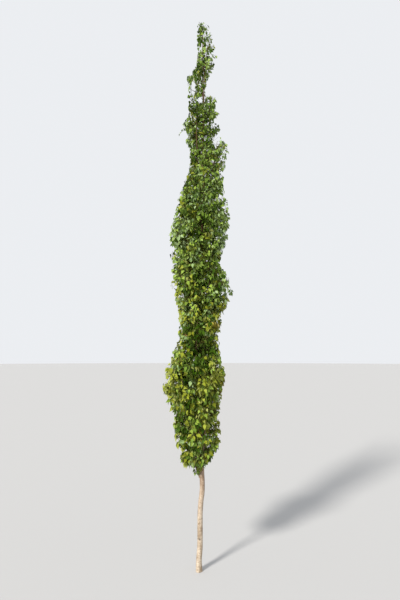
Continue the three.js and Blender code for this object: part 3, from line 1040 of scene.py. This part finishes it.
def leaf_materials():
    """The materials of each tint's two sides in turn, and the stalks' at the end."""
    materials = []
    for name, (upper, lower) in TINTS.items():
        materials.append(plain_material(f"leaf_{name}", upper, *UPPER_FINISH))
        materials.append(plain_material(f"leaf_{name}_below", lower, *LOWER_FINISH))
    materials.append(plain_material("leaf_stalk", STALK_COLOUR, *TWIG_FINISH))
    return materials


def rough(distances, sides, waves, seed=0):
    """Relief by noise on a grid of rings, at distances along the bark, and sides."""
    strength, cells, spacing, first_seed = waves
    u, v = np.meshgrid(np.arange(sides) / sides, distances)
    return strength * noise(u, v, cells, spacing, first_seed + seed)


def around(angles, centre, radius):
    """Distances round a limb from an angle to others."""
    return ((angles - centre + np.pi) % (2 * np.pi) - np.pi) * radius


def bump(distance, size, power=2):
    return np.exp(-((distance / size) ** power))


def trunk_marks(heights, angles):
    """The relief of pores and scars on a grid of heights and angles, and how far each point is in one."""
    radii = trunk_radius(heights)[:, None]
    pores = np.zeros((len(heights), len(angles)))
    scars = np.zeros_like(pores)
    random = seeded(PORE_SEED)
    for _ in range(PORE_COUNT):
        height = between((LOWEST_PORE, FINE_RING_TOP), random)
        angle = between((-np.pi, np.pi), random)
        half_width = between(PORE_HALF_WIDTHS, random)
        across = around(angles, angle, radii) / half_width
        above = (heights[:, None] - height) / PORE_HALF_HEIGHT
        pores = np.maximum(pores, np.clip(PORE_EDGE - np.hypot(across, above), 0, 1))
    relief = PORE_RIDGE * pores
    for height, angle, half_width, half_height in SCARS:
        across = around(angles, angle, radii) / half_width
        above = (heights[:, None] - height) / half_height
        distance = np.hypot(across, above)
        pit = SCAR_PIT_SHARE * bump(distance, SCAR_PIT, EDGE_POWER)
        relief += SCAR_RIM * (bump(distance - 1, SCAR_RIM_WIDTH) - pit)
        brow = bump(above - BROW_RISE + BROW_SLOPE * np.abs(across), BROW_WIDTH)
        brow *= BROW_SHARE * (np.abs(across) < BROW_REACH)
        scars = np.maximum(scars, np.maximum(bump(distance, SCAR_STAIN, EDGE_POWER), brow))
    return relief, pores, scars


def collars(heights, angles):
    """The trunk's swelling round the root of each limb."""
    swelling = np.zeros((len(heights), len(angles)))
    for mass in masses[:-1]:
        points = bezier(mass.path, COLLAR_STEPS)
        x, y, z = points[from_trunk(points) > 0][0]
        angle = math.atan2(y - trunk_y(z), x - trunk_x(z))
        size = COLLAR_SIZE * mass.root_radius
        across = around(angles, angle, trunk_radius(heights)[:, None]) / size
        above = heights[:, None] - z
        above /= np.where(above > 0, size, COLLAR_DROP * size)
        swelling += COLLAR_HEIGHT * mass.root_radius * np.exp(-(across**2) - above**2)
    return swelling


def trunk_piece(material):
    """The trunk's bark from the ground to its tip, with the root flare, marks and collars."""
    fine = np.arange(0, FINE_RING_TOP, FINE_RING_STEP)
    coarse = np.arange(FINE_RING_TOP, TRUNK_TIP, COARSE_RING_STEP)
    heights = np.concatenate([fine, coarse, [TRUNK_TIP]])
    angles = np.arange(TRUNK_SIDES) * 2 * np.pi / TRUNK_SIDES
    lobes = 1 + FLARE_LOBE_SHARE * np.cos(FLARE_LOBES * angles)
    flare = FLARE_RADIUS * lobes * np.exp(-heights / FLARE_HEIGHT)[:, None]
    thickness = trunk_radius(heights)[:, None]
    relief, pores, scars = trunk_marks(heights, angles)
    relief += thickness * rough(heights, TRUNK_SIDES, TRUNK_WAVES)
    relief += rough(heights, TRUNK_SIDES, TRUNK_GRAIN)
    relief += collars(heights, angles)
    radii = thickness + flare + relief
    spokes = np.stack([np.cos(angles), np.sin(angles), 0 * angles], axis=-1)
    shape = Gathered()
    shape.add_tubes((trunk_centre(heights)[:, None] + radii[..., None] * spokes)[None], [0])
    piece = shape.piece("trunk_bark", [material], "bark", "trunk")
    for name, values in (("pore", pores), ("scar", scars)):
        layer = piece.data.attributes.new(name, "FLOAT", "POINT")
        layer.data.foreach_set("value", values.reshape(-1).astype(np.float32))


def lengths_along(points):
    return np.concatenate([[0], np.cumsum(lengths(np.diff(points, axis=0)))])


def limb_piece(mass, material):
    """The bark of one limb, from inside the trunk's surface up to its last twigs."""
    steps = np.linspace(0, mass.exit, LIMB_SAMPLES)
    points = bezier(mass.path, steps)
    start = 0 if mass.is_leader else steps[from_trunk(points) < -LIMB_BURIED][-1]
    rings = round(lengths_along(points)[-1] / LIMB_RING_STEP)
    steps = np.linspace(start, mass.exit, rings)
    middle = bezier(mass.path, steps)
    thinning = np.interp(steps, [LIMB_THIN_FROM * mass.exit, mass.exit], [1, LIMB_TIP_SHARE])
    radii = limb_radius(mass, steps) * thinning
    if not mass.is_leader:
        radii *= 1 + LIMB_FLARE * np.exp(-np.maximum(0, from_trunk(middle)) / LIMB_FLARE_REACH)
    along = lengths_along(middle)
    relief = 1 + rough(along, LIMB_SIDES, LIMB_WAVES, mass.index)
    relief += rough(along, LIMB_SIDES, LIMB_GRAIN, mass.index)
    grid = tube_points(middle[None], radii, LIMB_SIDES)
    shape = Gathered()
    shape.add_tubes(middle[:, None] + (grid - middle[:, None]) * relief[..., None], [0])
    nodes = [f"foliage_{mass.label}"] + ([f"bough_{mass.label}"] if mass.has_bough else [])
    shape.piece(f"limb_{mass.label}", [material], "young_bark", *nodes)


# Colours of bark, the pairs with their blotches' or streaks' colour second, and of twigs
CREAM = ("#d0c1ac", "#a08d76")
CREAM_STREAKS = "#7e6b55"
CREAM_BANDS = "#7f6c56"
TAN = ("#97795f", "#6e4f3b")
# Where cream turns tan: partly the bark's own colour up the trunk, partly painted shade under the crown,
# which is why it starts low
TAN_AND_SHADE_HEIGHTS = (0.36, 0.9)
COPPER = ("#5c3e2b", "#76563e")
COPPER_HEIGHTS = (1.3, 2.6)
PORES = "#7d6048"
SCAR_COLOUR = "#33271f"
LIMB_GREY = ("#7d6450", "#968069")
LIMB_COPPER = ("#48331f", "#664b33")
LIMB_COPPER_HEIGHTS = (0.8, 1.8)
SPECKS = "#a59078"
TWIG_COLOURS = {"twig": "#4a3724", "spray_brown": "#524726", "spray_green": "#4f5822"}

# Sockets of a mix node when it mixes colours: share, first and second, and the result
MIX_INPUTS = (0, 6, 7)
MIX_RESULT = 2


class BarkNodes:
    """A material for bark, and short ways to add and join its nodes."""

    def __init__(self, name):
        self.material = bpy.data.materials.new(name)
        self.material.use_nodes = True
        self.tree = self.material.node_tree
        self.shader = self.tree.nodes["Principled BSDF"]
        self.place = self.add("ShaderNodeTexCoord").outputs["Object"]
        self.height = self.add("ShaderNodeSeparateXYZ", Vector=self.place).outputs["Z"]

    def add(self, kind, **inputs):
        node = self.tree.nodes.new(kind)
        for name, value in inputs.items():
            self.feed(node, name.replace("_", " "), value)
        return node

    def feed(self, node, name, value):
        """Gives a node's input a value, which is another node's output, a colour or a number."""
        socket = node.inputs[name]
        if isinstance(value, bpy.types.NodeSocket):
            self.tree.links.new(value, socket)
        else:
            socket.default_value = linear(value) if isinstance(value, str) else value

    def noise(self, stretch, scale, detail):
        place = self.add("ShaderNodeMapping", Vector=self.place, Scale=stretch).outputs["Vector"]
        node = self.add("ShaderNodeTexNoise", Vector=place, Scale=scale, Detail=detail)
        return node.outputs["Fac"]

    def mark(self, name):
        """How far each point of the bark is in a pore or a scar."""
        node = self.tree.nodes.new("ShaderNodeAttribute")
        node.attribute_name = name
        return node.outputs["Fac"]

    def mapped(self, value, **limits):
        return self.add("ShaderNodeMapRange", Value=value, **limits).outputs["Result"]

    def mix(self, value, low, high, first, second):
        """A colour that turns from the first to the second as a value goes from low to high."""
        share = self.mapped(value, From_Min=low, From_Max=high)
        node = self.tree.nodes.new("ShaderNodeMix")
        node.data_type = "RGBA"
        for socket, source in zip(MIX_INPUTS, (share, first, second)):
            self.feed(node, socket, source)
        return node.outputs[MIX_RESULT]

    def finish(self, colour, roughness, gloss, bumps, strength, distance):
        """The material with its colour, finish and bumps."""
        bumped = self.add("ShaderNodeBump", Height=bumps, Strength=strength, Distance=distance)
        self.feed(self.shader, "Base Color", colour)
        self.feed(self.shader, "Roughness", roughness)
        self.feed(self.shader, "Specular IOR Level", gloss)
        self.feed(self.shader, "Normal", bumped.outputs["Normal"])
        return self.material


def bark_material():
    """Cream bark low down that turns tan, partly as painted shade under the crown, and then coppery up
    the trunk, with darker pores and scars.
    """
    nodes = BarkNodes("bark")
    blotches = nodes.noise(stretch=(1, 1, 0.5), scale=38, detail=3)
    streaks = nodes.noise(stretch=(1, 1, 9), scale=55, detail=2)
    bands = nodes.noise(stretch=(1, 1, 3.5), scale=45, detail=2)
    cream = nodes.mix(blotches, 0.38, 0.62, *CREAM)
    cream = nodes.mix(streaks, 0.52, 0.66, cream, CREAM_STREAKS)
    cream = nodes.mix(bands, 0.58, 0.70, cream, CREAM_BANDS)
    tan = nodes.mix(blotches, 0.35, 0.65, *TAN)
    copper = nodes.mix(streaks, 0.4, 0.7, *COPPER)
    # Tan from low on the trunk: the bark's own colour, and painted shade under the crown
    colour = nodes.mix(nodes.height, *TAN_AND_SHADE_HEIGHTS, cream, tan)
    colour = nodes.mix(nodes.height, *COPPER_HEIGHTS, colour, copper)
    colour = nodes.mix(nodes.mark("pore"), 0.1, 1.1, colour, PORES)
    colour = nodes.mix(nodes.mark("scar"), 0.2, 0.9, colour, SCAR_COLOUR)
    roughness = nodes.mapped(streaks, To_Min=0.5, To_Max=0.8)
    return nodes.finish(colour, roughness, gloss=0.5, bumps=streaks, strength=0.35, distance=0.0008)


def young_bark_material():
    """Coppery bark with pale specks, greyer on the lowest limbs."""
    nodes = BarkNodes("young_bark")
    blotches = nodes.noise(stretch=(1, 1, 0.4), scale=60, detail=3)
    specks = nodes.noise(stretch=(1, 1, 1.6), scale=420, detail=1)
    grey = nodes.mix(blotches, 0.35, 0.68, *LIMB_GREY)
    copper = nodes.mix(blotches, 0.35, 0.68, *LIMB_COPPER)
    colour = nodes.mix(nodes.height, *LIMB_COPPER_HEIGHTS, grey, copper)
    colour = nodes.mix(specks, 0.64, 0.72, colour, SPECKS)
    return nodes.finish(colour, roughness=0.6, gloss=0.2, bumps=specks, strength=0.3, distance=0.0005)


def add_stems(shape, stems, count, radii, sides, kinds):
    """Adds tapering tubes, each with a count of rings, along twigs or sprays."""
    ends = np.array([stem.path for stem in stems]).swapaxes(0, 1)[:, :, None]
    paths = bezier(ends, np.linspace(0, 1, count))
    shape.add_tubes(tube_points(paths, np.linspace(*radii, count), sides), kinds)


def twigs_piece(mass, materials):
    shape = Gathered()
    twig_kinds = np.zeros(len(mass.twigs), int)
    spray_kinds = 1 + np.arange(len(mass.sprays)) % 2
    add_stems(shape, mass.twigs, TWIG_POINTS, TWIG_RADII, TWIG_SIDES, twig_kinds)
    add_stems(shape, mass.sprays, SPRAY_POINTS, SPRAY_RADII, SPRAY_SIDES, spray_kinds)
    shape.piece(f"twigs_{mass.label}", materials, "young_bark", f"foliage_{mass.label}")


def leaves_piece(mass, materials):
    shape = Gathered()
    add_leaves(shape, mass.leaves)
    shape.piece(f"leaves_{mass.label}", materials, "foliage", f"foliage_{mass.label}")


def add_camera():
    data = bpy.data.cameras.new("camera")
    data.lens = CAMERA_LENS
    data.clip_end = 2 * FLOOR_RADIUS
    camera = put("camera", data)
    camera.location = CAMERA_PLACE
    camera.rotation_euler = (math.pi / 2 + CAMERA_PITCH, 0, 0)
    scene.camera = camera


def add_lights():
    """A pale sky all round, and a soft sun from the front left."""
    world = bpy.data.worlds.new("studio")
    world.use_nodes = True
    background = world.node_tree.nodes["Background"]
    background.inputs["Color"].default_value = SKY_COLOUR
    background.inputs["Strength"].default_value = SKY_STRENGTH
    scene.world = world
    data = bpy.data.lights.new("key", "SUN")
    data.energy = KEY_STRENGTH
    data.angle = KEY_ANGLE
    data.color = KEY_COLOUR
    sun = put("key", data)
    sun.rotation_euler = Vector(KEY_FROM).to_track_quat("Z", "Y").to_euler()


def add_floor():
    turns = np.arange(FLOOR_SIDES) * 2 * np.pi / FLOOR_SIDES
    rim = FLOOR_RADIUS * np.stack([np.cos(turns), np.sin(turns), 0 * turns], axis=-1)
    mesh = bpy.data.meshes.new("floor")
    mesh.from_pydata(rim.tolist(), [], [list(range(FLOOR_SIDES))])
    mesh.materials.append(plain_material("floor", FLOOR_COLOUR, *FLOOR_FINISH))
    floor = put("floor", mesh)


add_camera()
add_lights()
add_floor()
scene.view_settings.view_transform = "Standard"
for mass in masses:
    mass.twigs = plan_twigs(mass) + plan_fine_twigs(mass)
    leaf_out(mass, plan_sprays(mass, mass.twigs))
fill_gaps()

trunk_piece(bark_material())
young_bark = young_bark_material()
twig_materials = [plain_material(name, colour, *TWIG_FINISH) for name, colour in TWIG_COLOURS.items()]
tinted = leaf_materials()
for mass in masses:
    limb_piece(mass, young_bark)
    twigs_piece(mass, twig_materials)
    leaves_piece(mass, tinted)
